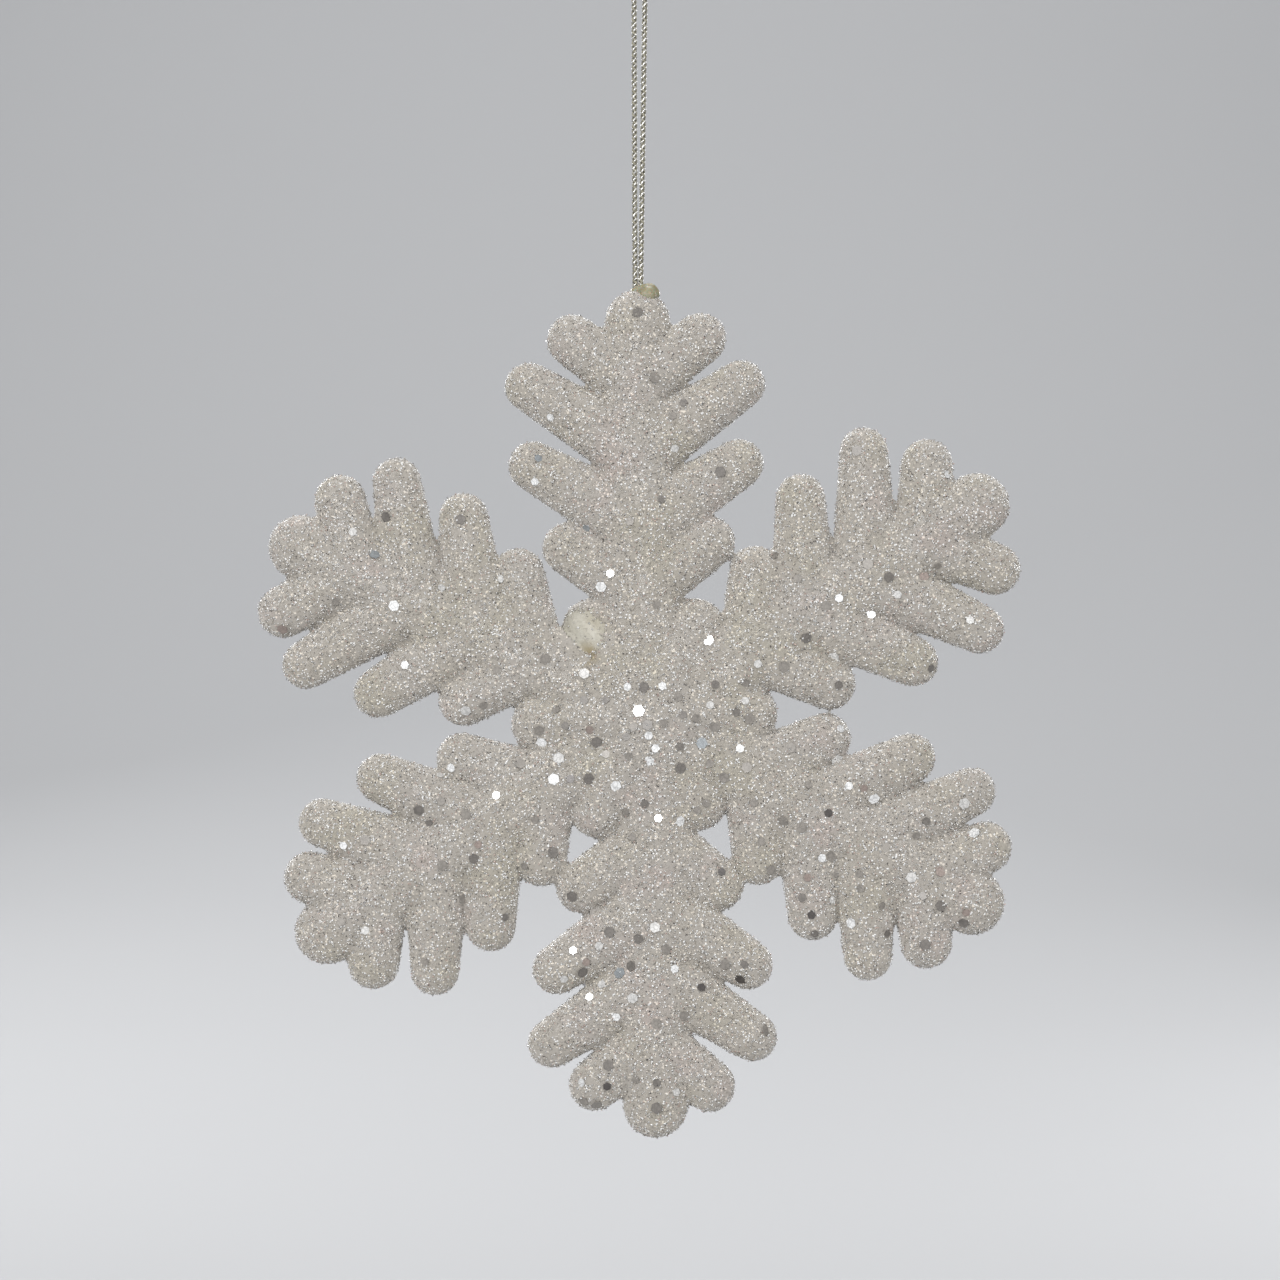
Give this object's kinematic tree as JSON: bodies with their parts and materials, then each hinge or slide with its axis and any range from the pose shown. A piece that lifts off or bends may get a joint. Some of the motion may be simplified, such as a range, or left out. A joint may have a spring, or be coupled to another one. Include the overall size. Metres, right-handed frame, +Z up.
{
  "type": "glittered foam snowflake ornament",
  "caption": "Puffy foam snowflake with fern-like arms under a white glitter coat with hexagonal flakes, hung on a thin two-strand cord loop.",
  "frame": {"origin": "the hang point: the middle of the 1 mm wire hook that the cord loop goes over", "axes": "+Z up along the hanging cord, +X to the right as the front is seen, the snowflake's front faces -Y"},
  "size_m": [0.1335, 0.0134, 0.2051],
  "materials": {
    "foam": "matt moulded foam, cream",
    "glitter_coat": "fine white glitter in clear adhesive",
    "flake": "pearl film, mirror bright",
    "hot_glue": "clear yellowish hot glue",
    "dried_glue": "dried brown adhesive film",
    "cord": "twisted metallic thread"
  },
  "bodies": {
    "loop_top": {"cord_loop_top": "cord"},
    "loop_legs": {"cord_left_leg": "cord", "cord_right_leg": "cord"},
    "snowflake": {"foam_hub": "foam", "foam_arm_top": "foam", "foam_arm_upper_right": "foam", "foam_arm_lower_right": "foam", "foam_arm_bottom": "foam", "foam_arm_lower_left": "foam", "foam_arm_upper_left": "foam", "glitter_coat_hub": "glitter_coat", "glitter_coat_arm_top": "glitter_coat", "glitter_coat_arm_upper_right": "glitter_coat", "glitter_coat_arm_lower_right": "glitter_coat", "glitter_coat_arm_bottom": "glitter_coat", "glitter_coat_arm_lower_left": "glitter_coat", "glitter_coat_arm_upper_left": "glitter_coat", "large_flakes_front": "flake", "large_flakes_back": "flake", "small_flakes_front": "flake", "small_flakes_back": "flake", "glue_dab": "hot_glue", "glue_smears": "dried_glue", "cord_tails": "cord"}
  },
  "joints": [
    {"name": "cord_twist", "type": "hinge", "parent": "loop_top", "child": "loop_legs", "pos_m": [0, 0, -0.006], "axis": [0, 0, 1], "range_deg": [-180, 180]},
    {"name": "swing_at_exit", "type": "hinge", "parent": "loop_legs", "child": "snowflake", "pos_m": [-0.00028, 0, -0.0524], "axis": [1, 0, 0], "range_deg": [-80, 80]}
  ]
}
